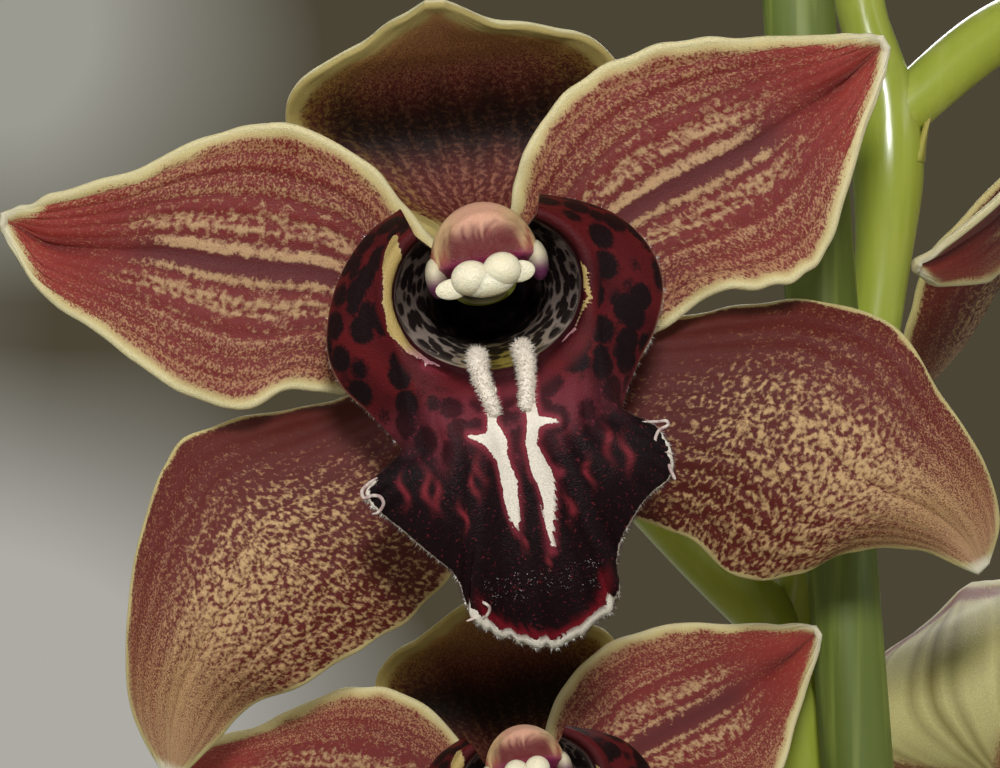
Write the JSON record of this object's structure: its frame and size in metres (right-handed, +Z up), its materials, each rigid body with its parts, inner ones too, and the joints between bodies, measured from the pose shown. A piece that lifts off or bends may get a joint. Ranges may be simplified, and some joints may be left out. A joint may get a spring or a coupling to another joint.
{
  "type": "potted cymbidium orchid",
  "caption": "a standard cymbidium orchid in a plastic pot, with strap leaves and an upright spike of maroon and cream blooms on a green stake",
  "frame": {"origin": "the centre of the underside of the pot", "axes": "+Z up the plant from the pot's foot to the top bud, -Y the side the best bloom faces, +X to the right as seen from that side"},
  "size_m": [0.7393, 0.7407, 0.8214],
  "materials": {
    "pot_plastic": "matte moulded plastic",
    "bark": "rough damp bark",
    "stake_coating": "plain plastic coating",
    "tie_plastic": "soft matte plastic",
    "green_stem": "smooth waxy plant skin",
    "bulb": "waxy plant skin with dry sheaths",
    "leaf": "satin leaf",
    "tepal": "satin petal, spotted and veined",
    "lip": "velvety petal",
    "column": "satin petal",
    "anther_cap": "smooth waxy",
    "bud": "waxy bud"
  },
  "bodies": {
    "root": {"pot": "pot_plastic", "growing_mix": "bark", "stake": "stake_coating", "tie_1": "tie_plastic", "tie_2": "tie_plastic", "spike": "green_stem", "main_bloom_dorsal_sepal": "tepal", "main_bloom_petal_left": "tepal", "main_bloom_petal_right": "tepal", "main_bloom_lateral_sepal_left": "tepal", "main_bloom_lateral_sepal_right": "tepal", "main_bloom_lip": "lip", "main_bloom_column": "column", "main_bloom_anther_cap": "anther_cap", "bloom_2_tepals": "tepal", "bloom_2_lip": "lip", "bloom_2_column": "column", "bloom_3_tepals": "tepal", "bloom_3_lip": "lip", "bloom_3_column": "column", "bloom_4_tepals": "tepal", "bloom_4_lip": "lip", "bloom_4_column": "column", "bloom_5_tepals": "tepal", "bloom_5_lip": "lip", "bloom_5_column": "column", "bloom_6_tepals": "tepal", "bloom_6_lip": "lip", "bloom_6_column": "column", "bloom_7_tepals": "tepal", "bloom_7_lip": "lip", "bloom_7_column": "column", "bloom_8_tepals": "tepal", "bloom_8_lip": "lip", "bloom_8_column": "column", "bloom_9_tepals": "tepal", "bloom_9_lip": "lip", "bloom_9_column": "column", "bud_1": "bud", "bud_2": "bud", "bud_3": "bud", "pseudobulb_1": "bulb", "leaf_fan_1": "leaf", "pseudobulb_2": "bulb", "leaf_fan_2": "leaf", "pseudobulb_3": "bulb", "leaf_fan_3": "leaf", "pseudobulb_4": "bulb", "leaf_fan_4": "leaf", "pseudobulb_5": "bulb", "leaf_fan_5": "leaf", "back_bulb": "bulb"}
  },
  "joints": []
}
